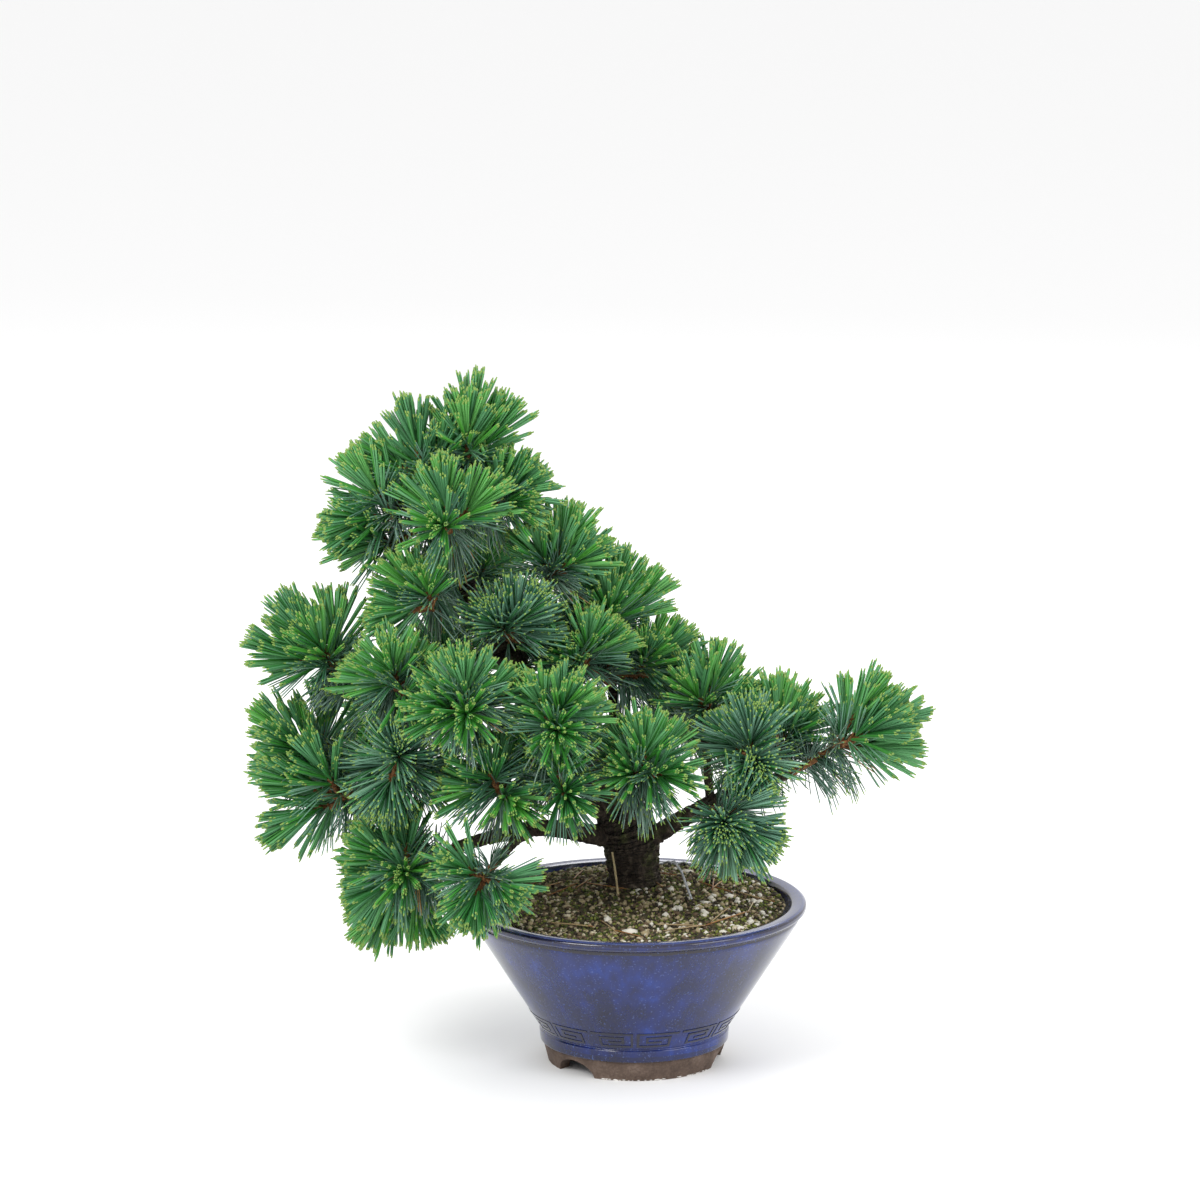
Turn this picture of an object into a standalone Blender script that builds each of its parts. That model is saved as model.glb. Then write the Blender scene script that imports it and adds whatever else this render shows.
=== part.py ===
"""A potted Japanese white pine, trained as a bonsai, in a round glazed pot.

Sizes are in millimetres, turned to metres by MM. X is the width, Y runs to the back and Z is up,
measured from the pot's axis on the ground; the last step moves the whole to the middle of its box.
"""
import math
import random

import bmesh
import bpy
from mathutils import Matrix, Vector
from mathutils.bvhtree import BVHTree

MM = 0.001
GAP = 0.3
SEED = 11

# Pot
POT_HEIGHT = 95.0
RIM_RADIUS = 100.0
LIP_WIDTH = 8.5
WALL_FOOT_RADIUS = 54.2
WALL_THICK = 7.0
LEDGE_TOP = 18.8
LEDGE_STEP = 1.2
GLAZE_EDGE = 12.0
FLOOR_TOP = 21.0
DRAIN_RADIUS = 11.0
POT_STEPS = 40
FOOT_OUTER = 53.0
FOOT_TAPER = 2.5
FOOT_THICK = 8.0
ARCH_ANGLES = (-43.0, 77.0, 197.0)
ARCH_WIDTH = 27.0
ARCH_HEIGHT = 9.2

# Soil
GROUND = 99.0
SOIL_EDGE_DROP = 6.0
SOIL_BACK_DROP = 5.0
TRUNK_PATCH = 21.0
SOIL_RINGS = 5

# Trunk: places of its centre line and its radius there
TRUNK = (
    ((0, 25, GROUND), 16.5),
    ((0, 25, 103), 14.6),
    ((-1, 24, 112), 15.2),
    ((-3, 22, 128), 16.4),
    ((-10, 17, 147), 14.0),
    ((-27, 11, 172), 11.5),
    ((-60, 0, 219), 8.6),
    ((-89, -3, 267), 5.8),
    ((-104, 0, 299), 4.4),
    ((-104, 3, 322), 3.2),
    ((-101, 4, 334), 2.4),
)
TRUNK_SIDES = 12
LIMB_SIDES = 6
LIMB_POINTS = 5

# Boughs: the limb each leaves, how far up that limb, its tip, its bow upwards, and two radii
BOUGHS = {
    "bough_low_left": ("trunk", 0.27, (-104, -24, 132), 10, 7.0, 3.4),
    "bough_over_rim": ("bough_low_left", 0.55, (-80, -58, 130), 3, 3.4, 2.2),
    "bough_mid_left": ("trunk", 0.46, (-150, -6, 172), -8, 5.2, 2.6),
    "bough_high_left": ("trunk", 0.60, (-150, -10, 226), -7, 4.8, 2.4),
    "bough_back_left": ("trunk", 0.42, (-118, 64, 182), 6, 4.8, 2.4),
    "bough_right": ("trunk", 0.24, (90, -8, 172), 5, 6.6, 3.0),
    "bough_right_low": ("bough_right", 0.42, (44, -42, 160), 2, 3.0, 2.0),
    "bough_right_up": ("bough_right", 0.50, (40, 16, 192), 2, 3.0, 2.0),
    "bough_rise": ("trunk", 0.36, (-14, 24, 226), 8, 5.0, 2.6),
    "bough_upper_right": ("trunk", 0.62, (-58, 2, 272), 4, 3.8, 2.2),
    "bough_front_high": ("trunk", 0.52, (-90, -52, 218), -3, 4.0, 2.2),
    "bough_front_mid": ("trunk", 0.44, (-47, -46, 206), 2, 3.8, 2.2),
    "bough_front_low": ("trunk", 0.30, (-8, -40, 176), 4, 3.8, 2.2),
    "bough_front_left": ("trunk", 0.34, (-70, -42, 170), 3, 3.8, 2.2),
    "bough_back_high": ("trunk", 0.66, (-92, 58, 262), -3, 3.8, 2.2),
    "bough_back_low": ("trunk", 0.30, (-44, 88, 158), 4, 4.6, 2.4),
    "bough_back_right": ("trunk", 0.33, (26, 76, 176), 5, 4.4, 2.4),
}

# Masses of needles: the limb that carries it (its tip, or how far up it), the heart its shoots
# spread from, the tip its leading shoot reaches, the number of shoots, their spread in degrees
# and the seed
MASSES = {
    "peak": ("trunk", 1.00, (-95, 3, 350), (-91, 3, 407), 4, 26, 1),
    "crown_left": ("trunk", 0.975, (-122, 2, 341), (-130, 3, 393), 3, 30, 2),
    "crown_far_left": ("trunk", 0.95, (-140, -6, 322), (-163, -8, 364), 3, 32, 3),
    "crown_low_left": ("trunk", 0.925, (-139, 2, 303), (-180, 1, 320), 3, 30, 4),
    "crown_front": ("trunk", 0.955, (-106, -30, 318), (-109, -38, 366), 4, 34, 5),
    "crown_right": ("trunk", 0.97, (-78, -5, 330), (-52, -7, 352), 4, 34, 6),
    "crown_back": ("trunk", 0.945, (-102, 38, 326), (-108, 56, 370), 4, 36, 7),
    "shoulder": ("trunk", 0.80, (-117, -26, 272), (-141, -28, 306), 4, 36, 8),
    "upper_right": ("bough_upper_right", 1.0, (-47, 3, 287), (-33, 4, 329), 4, 32, 9),
    "upper_old": ("trunk", 0.74, (-72, -24, 254), (-56, -34, 290), 3, 44, 10),
    "rise_top": ("bough_rise", 1.0, (-16, 24, 250), (-7, 23, 301), 4, 28, 11),
    "rise_side": ("bough_rise", 0.93, (4, 28, 222), (30, 30, 254), 4, 34, 12),
    "rise_front": ("bough_rise", 0.86, (-30, -8, 236), (-22, -22, 272), 3, 40, 13),
    "high_left_tip": ("bough_high_left", 1.0, (-174, -10, 234), (-208, -9, 281), 5, 30, 14),
    "high_left_front": ("bough_high_left", 0.93, (-134, -42, 230), (-143, -58, 264), 4, 46, 15),
    "mid_left_tip": ("bough_mid_left", 1.0, (-180, -4, 176), (-219, 0, 215), 4, 32, 16),
    "mid_left_low": ("bough_mid_left", 0.94, (-168, -24, 160), (-224, -20, 182), 4, 34, 17),
    "left_droop": ("bough_mid_left", 0.82, (-136, -42, 186), (-146, -66, 158), 4, 52, 18),
    "front_high": ("bough_front_high", 1.0, (-95, -70, 222), (-98, -84, 262), 5, 40, 19),
    "front_mid": ("bough_front_mid", 1.0, (-46, -64, 212), (-32, -78, 246), 4, 38, 20),
    "front_left": ("bough_front_left", 1.0, (-78, -58, 174), (-90, -74, 208), 4, 44, 21),
    "front_centre": ("bough_front_left", 0.86, (-42, -60, 176), (-44, -78, 212), 3, 36, 22),
    "front_star": ("bough_front_low", 1.0, (6, -52, 182), (2, -62, 220), 5, 44, 23),
    "right_up": ("bough_right_up", 1.0, (43, 15, 204), (48, 14, 246), 4, 34, 24),
    "right_old": ("bough_right", 0.82, (64, -26, 186), (72, -38, 222), 3, 46, 25),
    "right_mid": ("bough_right", 0.94, (84, 8, 186), (80, 6, 228), 4, 30, 26),
    "right_tip": ("bough_right", 1.0, (118, -8, 190), (170, -9, 215), 5, 26, 27),
    "right_low": ("bough_right_low", 1.0, (52, -54, 156), (82, -68, 141), 4, 48, 28),
    "low_left": ("bough_low_left", 1.0, (-131, -42, 122), (-163, -50, 150), 5, 44, 29),
    "low_left_under": ("bough_low_left", 0.93, (-132, -12, 110), (-160, -22, 72), 4, 46, 30),
    "over_rim": ("bough_over_rim", 1.0, (-86, -80, 128), (-98, -100, 104), 4, 56, 31),
    "back_left": ("bough_back_left", 1.0, (-134, 76, 184), (-172, 92, 204), 5, 46, 32),
    "back_left_up": ("bough_back_left", 0.90, (-112, 84, 214), (-116, 104, 250), 4, 46, 33),
    "back_high": ("bough_back_high", 1.0, (-94, 74, 268), (-100, 100, 300), 5, 46, 34),
    "back_low": ("bough_back_low", 1.0, (-48, 102, 160), (-58, 142, 166), 5, 50, 35),
    "back_mid": ("trunk", 0.56, (-40, 48, 226), (-28, 82, 252), 5, 50, 36),
    "back_right": ("bough_back_right", 1.0, (32, 88, 180), (56, 120, 204), 5, 48, 37),
}

# A shoot is a slim core that needles stand out of
SHOOT_SHARE = 0.42
NEEDLE_LENGTH = 36.0
NEEDLE_ROOT = 0.1
NEEDLE_TIP = 1.7
NEEDLES_A_SHOOT = 5
NEEDLE_TRIES = 22
STEM_RADIUS = 2.0
TWIG_RADIUS = 1.7
CORE_TIP_RADIUS = 1.2
OUTSIDE_ANGLE = 78.0
INSIDE_ANGLE = 12.0
GOLDEN_ANGLE = math.radians(137.508)
SPACE_REACH = 74.0
BESIDE_POT = 1.5
SEAT_STEPS = 7
SEAT_SPARE = 0.08
EDGE_STEPS = 8
SLIVER = 2e-6

WIRE_RADIUS = 0.75
TIE_WIRE = ((33, -8, 98.5), (30, -5, 106), (27, -2, 114), (23, 0, 119), (21, 0, 118))
TWIST_START = (10, 78, 93.2)
TWIST_END = (46, 70, 93.2)
TWIST_TURNS = 4
TWIST_POINTS = 21


def clear_scene():
    for old in list(bpy.data.objects):
        bpy.data.objects.remove(old, do_unlink=True)


def make_material(name, colour, roughness, metallic=0.0, coat=0.0):
    material = bpy.data.materials.new(name)
    material.use_nodes = True
    shader = material.node_tree.nodes["Principled BSDF"]
    shader.inputs["Base Color"].default_value = (*colour, 1.0)
    shader.inputs["Roughness"].default_value = roughness
    shader.inputs["Metallic"].default_value = metallic
    shader.inputs["Coat Weight"].default_value = coat
    return material


def add_object(name, data, material, collection):
    piece = bpy.data.objects.new(name, data)
    collection.objects.link(piece)
    if material:
        data.materials.append(material)
    return piece


def mesh_from(bm, name):
    mesh = bpy.data.meshes.new(name)
    bm.to_mesh(mesh)
    bm.free()
    return mesh


def applied(piece, weld=True):
    """The piece with its modifiers applied, or its curve turned to a mesh with its caps welded."""
    bpy.context.view_layer.update()
    graph = bpy.context.evaluated_depsgraph_get()
    mesh = bpy.data.meshes.new_from_object(piece.evaluated_get(graph))
    if weld:
        bm = bmesh.new()
        bm.from_mesh(mesh)
        bmesh.ops.remove_doubles(bm, verts=bm.verts, dist=1e-6)
        bmesh.ops.recalc_face_normals(bm, faces=bm.faces)
        bm.to_mesh(mesh)
        bm.free()
    name = piece.name
    collection = piece.users_collection[0]
    material = piece.data.materials[0] if piece.data.materials else None
    bpy.data.objects.remove(piece, do_unlink=True)
    mesh.materials.clear()
    mesh.name = name
    return add_object(name, mesh, material, collection)


def turned(name, profile, material, collection, steps=POT_STEPS):
    """A closed profile of (radius, height) in mm, running down its outer side, turned about Z."""
    bm = bmesh.new()
    corners = [bm.verts.new((radius * MM, 0, height * MM)) for radius, height in profile]
    for here, there in zip(corners, corners[1:] + corners[:1]):
        bm.edges.new((here, there))
    piece = add_object(name, mesh_from(bm, name), material, collection)
    screw = piece.modifiers.new("Turn", "SCREW")
    screw.steps = steps
    screw.render_steps = steps
    screw.use_merge_vertices = True
    screw.merge_threshold = 1e-5
    return piece


def smooth_path(points, count):
    """Points along a Catmull-Rom curve through the given ones, evenly shared between them."""
    knots = [2 * points[0] - points[1], *points, 2 * points[-1] - points[-2]]
    spans = len(points) - 1
    path = []
    for i in range(count):
        place = i * spans / (count - 1)
        k = min(int(place), spans - 1)
        t = place - k
        a, b, c, d = knots[k : k + 4]
        path.append(
            0.5 * (2 * b + (c - a) * t + (2 * a - 5 * b + 4 * c - d) * t**2)
            + 0.5 * (3 * b - a - 3 * c + d) * t**3
        )
    return path


class Limb:
    """A tapering limb: its centre line in mm and the radius at each of its points."""

    def __init__(self, path, radii):
        self.path = path
        self.radii = radii

    def at(self, share):
        place = share * (len(self.path) - 1)
        k = min(int(place), len(self.path) - 2)
        t = place - k
        point = self.path[k].lerp(self.path[k + 1], t)
        return point, self.radii[k] * (1 - t) + self.radii[k + 1] * t

    def seat(self, share, towards, radius):
        """Where a limb of this radius may start, clear of this one and on the side it leaves to."""
        point, own = self.at(share)
        return point + (towards - point).normalized() * 2 * (own + radius)

    def capsules(self):
        for k in range(len(self.path) - 1):
            yield self.path[k], self.path[k + 1], max(self.radii[k], self.radii[k + 1])


def limb_object(name, limb, sides, material, collection):
    curve = bpy.data.curves.new(name, "CURVE")
    curve.dimensions = "3D"
    curve.bevel_depth = MM
    curve.bevel_resolution = sides // 2 - 2
    curve.use_fill_caps = True
    spline = curve.splines.new("POLY")
    spline.points.add(len(limb.path) - 1)
    for knot, point, radius in zip(spline.points, limb.path, limb.radii):
        knot.co = (*(point * MM), 1)
        knot.radius = radius
    return applied(add_object(name, curve, material, collection))


def distance(one, other):
    """The least distance in mm between two meshes that don't overlap, from points along their edges."""
    least = math.inf
    for edges_of, faces_of in ((one, other), (other, one)):
        corners = [point.co for point in faces_of.vertices]
        tree = BVHTree.FromPolygons(corners, [tuple(face.vertices) for face in faces_of.polygons])
        for edge in edges_of.edges:
            a, b = (edges_of.vertices[k].co for k in edge.vertices)
            for step in range(EDGE_STEPS):
                least = min(least, tree.find_nearest(a.lerp(b, step / EDGE_STEPS))[3])
    return least / MM


def seated(start, towards, build, carrier):
    """The start moved back along its limb until what build makes from it is GAP from its carrier."""
    way = (towards - start).normalized()
    for _ in range(SEAT_STEPS):
        start = start - way * (distance(build(start), carrier) - GAP - SEAT_SPARE) * 0.95
    return start


def segment_distance(a, b, c, d):
    """The least distance between segments ab and cd."""
    u, v, w = b - a, d - c, a - c
    uu, uv, vv = u.dot(u), u.dot(v), v.dot(v)
    uw, vw = u.dot(w), v.dot(w)
    bottom = uu * vv - uv * uv
    s = min(1.0, max(0.0, (uv * vw - vv * uw) / bottom)) if bottom > 1e-9 else 0.0
    t = (uv * s + vw) / vv if vv > 1e-9 else 0.0
    if t < 0 or t > 1:
        t = min(1.0, max(0.0, t))
        s = min(1.0, max(0.0, (uv * t - uw) / uu)) if uu > 1e-9 else 0.0
    return (w + u * s - v * t).length


class Space:
    """What has been placed so far, so that each mass keeps clear of the limbs and of the others."""

    def __init__(self):
        self.placed = []

    def add(self, owner, a, b, radius):
        self.placed.append((owner, a, b, radius, (a + b) / 2, (b - a).length / 2 + radius))

    def free(self, owner, a, b, radius):
        middle, reach = (a + b) / 2, (b - a).length / 2 + radius + GAP
        for other, c, d, theirs, centre, spread in self.placed:
            if other == owner or (centre - middle).length > reach + spread:
                continue
            if segment_distance(a, b, c, d) < radius + theirs + GAP:
                return False
        return all(beside_pot(point, radius) for point in (a, middle, b))


def beside_pot(point, radius):
    """Whether a point lies clear of the pot and the soil, and above the ground."""
    low = point.z - radius
    if math.hypot(point.x, point.y) > RIM_RADIUS + BESIDE_POT + radius:
        return low > 2
    return low > GROUND + BESIDE_POT


def tapered(bm_name, a, b, radius_a, radius_b, sides):
    """A mesh of one closed tapering spike from a to b, in mm."""
    bm = bmesh.new()
    along = b - a
    bmesh.ops.create_cone(
        bm,
        cap_ends=True,
        segments=sides,
        radius1=radius_a * MM,
        radius2=radius_b * MM,
        depth=along.length * MM,
    )
    turn = along.to_track_quat("Z", "Y").to_matrix().to_4x4()
    bmesh.ops.transform(bm, matrix=Matrix.Translation((a + b) / 2 * MM) @ turn, verts=bm.verts)
    return mesh_from(bm, bm_name)


def leaned(axis, angle, azimuth):
    """A direction at this angle from the axis, turned about it."""
    side = axis.orthogonal().normalized()
    side.rotate(Matrix.Rotation(azimuth, 3, axis))
    return (axis * math.cos(angle) + side * math.sin(angle)).normalized()


def shoots_of(heart, tip, count, spread, seed):
    """The shoots of a mass, as (start, end of its needles) pairs: the leader and those round it."""
    rng = random.Random(SEED * 1000 + seed)
    lead = (tip - heart).normalized()
    reach = (tip - heart).length
    shoots = [(heart, tip)]
    turn = rng.uniform(0, math.tau)
    for i in range(1, count):
        angle = math.radians(spread * rng.uniform(0.9, 1.4))
        way = leaned(lead, angle, turn + i * math.tau / (count - 1) + rng.uniform(-0.3, 0.3))
        start = heart - lead * rng.uniform(2, 7) + way * 3
        shoots.append((start, start + way * reach * rng.uniform(0.8, 0.98)))
    return shoots


def united(name, meshes, material, collection):
    """The first mesh with the others joined on, by one Boolean union on a collection."""
    helpers = bpy.data.collections.new(name + "_pieces")
    bpy.context.scene.collection.children.link(helpers)
    for k, mesh in enumerate(meshes[1:]):
        add_object(f"{name}_{k}", mesh.copy(), None, helpers)
    piece = add_object(name, meshes[0].copy(), material, collection)
    union = piece.modifiers.new("Union", "BOOLEAN")
    union.operand_type = "COLLECTION"
    union.collection = helpers
    union.operation = "UNION"
    union.solver = "MANIFOLD"
    piece = applied(piece, weld=False)
    for helper in list(helpers.objects):
        bpy.data.objects.remove(helper, do_unlink=True)
    bpy.data.collections.remove(helpers)
    return piece


def fuse(name, meshes, material, collection):
    """One solid from overlapping closed meshes. A needle that leaves an unsound edge is left out."""
    meshes = list(meshes)
    while True:
        piece = united(name, meshes, material, collection)
        fault = tidy_body(piece.data)
        if fault is None:
            return piece
        bpy.data.objects.remove(piece, do_unlink=True)
        needles = meshes[2:]
        nearest = min(needles, key=lambda mesh: min((v.co - fault).length for v in mesh.vertices))
        meshes.remove(nearest)


def bodies_of(bm):
    """The faces of each separate body, the largest body last. Bodies that share only a corner are apart."""
    left = set(bm.faces)
    bodies = []
    while left:
        found = {left.pop()}
        border = list(found)
        while border:
            reached = {near for face in border for edge in face.edges for near in edge.link_faces}
            border = list(reached - found)
            found |= reached
        left -= found
        bodies.append(found)
    return sorted(bodies, key=len)


def tidy_body(mesh):
    """Merges slivers, drops loose scraps and sealed hollows, and gives a place that is unsound, or None."""
    bm = bmesh.new()
    bm.from_mesh(mesh)
    bmesh.ops.triangulate(bm, faces=bm.faces)
    bmesh.ops.remove_doubles(bm, verts=bm.verts, dist=SLIVER)
    bmesh.ops.dissolve_degenerate(bm, edges=bm.edges, dist=SLIVER)
    bmesh.ops.triangulate(bm, faces=bm.faces)
    for body in bodies_of(bm)[:-1]:
        bmesh.ops.delete(bm, geom=list(body), context="FACES")
    loose = [point for point in bm.verts if not point.link_faces]
    bmesh.ops.delete(bm, geom=loose, context="VERTS")
    unsound = [edge for edge in bm.edges if not edge.is_manifold or not edge.is_contiguous]
    pinched = [point for point in bm.verts if not point.is_manifold]
    fault = unsound[0].verts[0].co.copy() if unsound else None
    if pinched and not unsound:
        fault = pinched[0].co.copy()
    bm.to_mesh(mesh)
    bm.free()
    return fault


def make_pot(glaze, clay, collection):
    wall_top = POT_HEIGHT - 10
    inner_foot = WALL_FOOT_RADIUS - WALL_THICK
    lip_inner = RIM_RADIUS - LIP_WIDTH
    profile = [
        (lip_inner, POT_HEIGHT - 0.8),
        (RIM_RADIUS - 2, POT_HEIGHT),
        (RIM_RADIUS, POT_HEIGHT - 1.4),
        (RIM_RADIUS, POT_HEIGHT - 3.6),
        (RIM_RADIUS - 1.4, POT_HEIGHT - 5),
        (RIM_RADIUS - 3.6, POT_HEIGHT - 6.2),
        (RIM_RADIUS - 3.4, POT_HEIGHT - 8),
        (RIM_RADIUS - 4.4, wall_top),
        (WALL_FOOT_RADIUS, LEDGE_TOP + 0.8),
        (WALL_FOOT_RADIUS + LEDGE_STEP, LEDGE_TOP),
        (WALL_FOOT_RADIUS + 0.6, GLAZE_EDGE + 0.6),
        (WALL_FOOT_RADIUS, GLAZE_EDGE),
        (DRAIN_RADIUS, GLAZE_EDGE),
        (DRAIN_RADIUS, FLOOR_TOP),
        (inner_foot, FLOOR_TOP),
        (lip_inner - 3, wall_top),
    ]
    turned("pot", profile, glaze, collection)

    top = GLAZE_EDGE - GAP
    foot = turned(
        "foot_ring",
        [
            (FOOT_OUTER, top),
            (FOOT_OUTER, top - 2),
            (FOOT_OUTER - FOOT_TAPER, 0),
            (FOOT_OUTER - FOOT_TAPER - FOOT_THICK + 1, 0),
            (FOOT_OUTER - FOOT_THICK, top),
        ],
        clay,
        collection,
    )
    arches = bpy.data.collections.new("cutters")
    bpy.context.scene.collection.children.link(arches)
    for k, angle in enumerate(ARCH_ANGLES):
        bm = bmesh.new()
        bmesh.ops.create_cone(
            bm,
            cap_ends=True,
            segments=20,
            radius1=ARCH_WIDTH / 2 * MM,
            radius2=ARCH_WIDTH / 2 * MM,
            depth=FOOT_THICK * 3 * MM,
        )
        squeeze = Matrix.Diagonal((1, ARCH_HEIGHT / (ARCH_WIDTH / 2), 1, 1))
        lie = Matrix.Rotation(math.radians(90), 4, "X")
        out = Matrix.Translation((0, -(FOOT_OUTER - FOOT_THICK / 2) * MM, 0))
        swing = Matrix.Rotation(math.radians(angle), 4, "Z")
        bmesh.ops.transform(bm, matrix=swing @ out @ lie @ squeeze, verts=bm.verts)
        cutter = add_object(f"arch_{k}", mesh_from(bm, f"arch_{k}"), None, arches)
        cutter.hide_render = True
        cutter.display_type = "WIRE"
        cut = foot.modifiers.new(f"Arch {k}", "BOOLEAN")
        cut.object = cutter
        cut.operation = "DIFFERENCE"


def soil_height(x, y):
    """The top of the soil: level round the trunk's foot, lower at the edge and lowest at the back left."""
    seat = Vector((TRUNK[0][0][0], TRUNK[0][0][1]))
    away = (Vector((x, y)) - seat).length
    fall = min(1.0, max(0.0, (away - TRUNK_PATCH) / 70))
    backward = max(0.0, (y - x) / (2 * RIM_RADIUS))
    return GROUND - GAP - fall * (SOIL_EDGE_DROP + SOIL_BACK_DROP * backward)


def make_soil(material, collection):
    edge = RIM_RADIUS - LIP_WIDTH - 3 - GAP
    foot = WALL_FOOT_RADIUS - WALL_THICK - GAP
    bottom = FLOOR_TOP + GAP
    wall_top = POT_HEIGHT - 10
    low = wall_top - 3
    slope = (edge - foot) / (wall_top - FLOOR_TOP)
    rings = [(edge - 0.4) * (k / SOIL_RINGS) for k in range(SOIL_RINGS + 1)]
    profile = [(radius, GROUND) for radius in rings]
    profile += [(foot + slope * (low - FLOOR_TOP) - 0.2, low), (foot, bottom + 0.4), (0, bottom + 0.4)]
    soil = applied(turned("soil", profile, material, collection, steps=28))
    for point in soil.data.vertices:
        if point.co.z > (GROUND - 1) * MM:
            point.co.z = soil_height(point.co.x / MM, point.co.y / MM) * MM


def make_limbs(bark, collection, space):
    line = [Vector(place) for place, _ in TRUNK]
    radii = [radius for _, radius in TRUNK]
    limbs = {"trunk": Limb(line, radii)}
    limbs["trunk"].mesh = limb_object("trunk", limbs["trunk"], TRUNK_SIDES, bark, collection).data
    for name, (parent, share, tip, bow, thick, thin) in BOUGHS.items():
        tip = Vector(tip)
        steps = [k / (LIMB_POINTS - 1) for k in range(LIMB_POINTS)]
        sizes = [thick + (thin - thick) * step**0.8 for step in steps]
        middle = (limbs[parent].at(share)[0] + tip) / 2 + Vector((0, 0, bow))

        def bough(start):
            if name in bpy.data.objects:
                bpy.data.objects.remove(bpy.data.objects[name], do_unlink=True)
            limbs[name] = Limb(smooth_path([start, middle, tip], LIMB_POINTS), sizes)
            limbs[name].mesh = limb_object(name, limbs[name], LIMB_SIDES, bark, collection).data
            return limbs[name].mesh

        start = limbs[parent].seat(share, middle, thick)
        bough(seated(start, middle, bough, limbs[parent].mesh))
    for name, limb in limbs.items():
        for a, b, radius in limb.capsules():
            space.add(name, a, b, radius)
    return limbs


class Mass:
    """One mass of needles, grown from its stem, in its own part of the space."""

    def __init__(self, name, limbs, space):
        parent, share, heart, tip, count, spread, seed = MASSES[name]
        self.name = "mass_" + name
        self.space = space
        self.heart = Vector(heart)
        self.rng = random.Random(SEED * 7000 + seed)
        self.shoots = shoots_of(self.heart, Vector(tip), count, spread, seed)
        self.meshes = []

        def stem(start):
            return tapered(self.name, start, self.heart, STEM_RADIUS, STEM_RADIUS, 5)

        away = limbs[parent].seat(share, self.heart, STEM_RADIUS)
        self.seat = seated(away, self.heart, stem, limbs[parent].mesh)
        self.stem = (self.heart - self.seat).normalized()
        self.add(self.seat, self.heart + self.stem * STEM_RADIUS, STEM_RADIUS, STEM_RADIUS, 5)

    def add(self, a, b, thick, thin, sides):
        self.meshes.append(tapered(self.name, a, b, thick, thin, sides))
        self.space.add(self.name, a, b, max(thick, thin))

    def grow(self, a, b, thick, thin, sides):
        """Adds a twig or a needle, unless it would leave the mass's space or touch something."""
        inner = a + (b - a).normalized() * STEM_RADIUS
        near = (b - self.heart).length < SPACE_REACH
        clear = near and self.space.free(self.name, inner, b, max(thick, thin))
        if clear:
            self.add(a, b, thick, thin, sides)
        return clear

    def grow_shoot(self, start, end):
        way = (end - start).normalized()
        reach = (end - start).length
        root = self.heart if start == self.heart else self.heart - self.stem * 2
        core_end = start + way * max(reach * SHOOT_SHARE, reach - NEEDLE_LENGTH)
        if not self.grow(root, core_end, TWIG_RADIUS, CORE_TIP_RADIUS, 3):
            return
        core = core_end - root
        leader = core_end + way * (reach - (core_end - start).length)
        made = self.grow(root + core * 0.8, leader, NEEDLE_ROOT, NEEDLE_TIP, 3)
        for k in range(NEEDLE_TRIES):
            if made >= NEEDLES_A_SHOOT:
                break
            along = 0.30 + 0.66 * (k % NEEDLES_A_SHOOT) / (NEEDLES_A_SHOOT - 1)
            lean = OUTSIDE_ANGLE + (INSIDE_ANGLE - OUTSIDE_ANGLE) * along
            angle = math.radians(lean * self.rng.uniform(0.85, 1.1))
            azimuth = k * GOLDEN_ANGLE + self.rng.uniform(-0.35, 0.35)
            ray = leaned(core.normalized(), angle, azimuth)
            foot = root + core * along
            point = foot + ray * NEEDLE_LENGTH * self.rng.uniform(0.84, 1.02)
            over = (point - start).dot(way) - reach
            if over > 0:
                point -= ray * over
            made += self.grow(foot, point, NEEDLE_ROOT, NEEDLE_TIP, 3)

    def finish(self, material, collection):
        for start, end in self.shoots:
            self.grow_shoot(start, end)
        fuse(self.name, self.meshes, material, collection)


def make_wires(material, collection):
    def wire(name, points):
        line = [Vector(point) for point in points]
        limb_object(name, Limb(line, [WIRE_RADIUS] * len(line)), 6, material, collection)

    foot_of_wire = TIE_WIRE[0]
    lift = soil_height(foot_of_wire[0], foot_of_wire[1]) + GAP + 0.1 - foot_of_wire[2]
    wire("tie_wire", [(x, y, z + lift) for x, y, z in TIE_WIRE])
    start, end = Vector(TWIST_START), Vector(TWIST_END)
    points = []
    for k in range(TWIST_POINTS):
        share = k / (TWIST_POINTS - 1)
        spin = share * TWIST_TURNS * math.tau
        middle = start.lerp(end, share)
        middle.z = soil_height(middle.x, middle.y) + GAP + 2.2 * WIRE_RADIUS
        swing = Vector((0.25, 0.97, 0)) * math.cos(spin) + Vector((0, 0, 1)) * math.sin(spin)
        points.append(middle + swing * WIRE_RADIUS)
    wire("twisted_wire", points)


def centre_on_box(collection):
    """Parents every piece to an empty at the middle of the underside, and moves that to the origin."""
    bpy.context.view_layer.update()
    graph = bpy.context.evaluated_depsgraph_get()
    corners = []
    for piece in collection.objects:
        mesh = piece.evaluated_get(graph).to_mesh()
        corners += [piece.matrix_world @ point.co for point in mesh.vertices]
    low = [min(corner[axis] for corner in corners) for axis in range(3)]
    high = [max(corner[axis] for corner in corners) for axis in range(3)]
    base = bpy.data.objects.new("ground_centre", None)
    bpy.context.scene.collection.objects.link(base)
    for piece in list(bpy.data.objects):
        if piece != base:
            piece.parent = base
    base.location = (-(low[0] + high[0]) / 2, -(low[1] + high[1]) / 2, -low[2])


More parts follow.
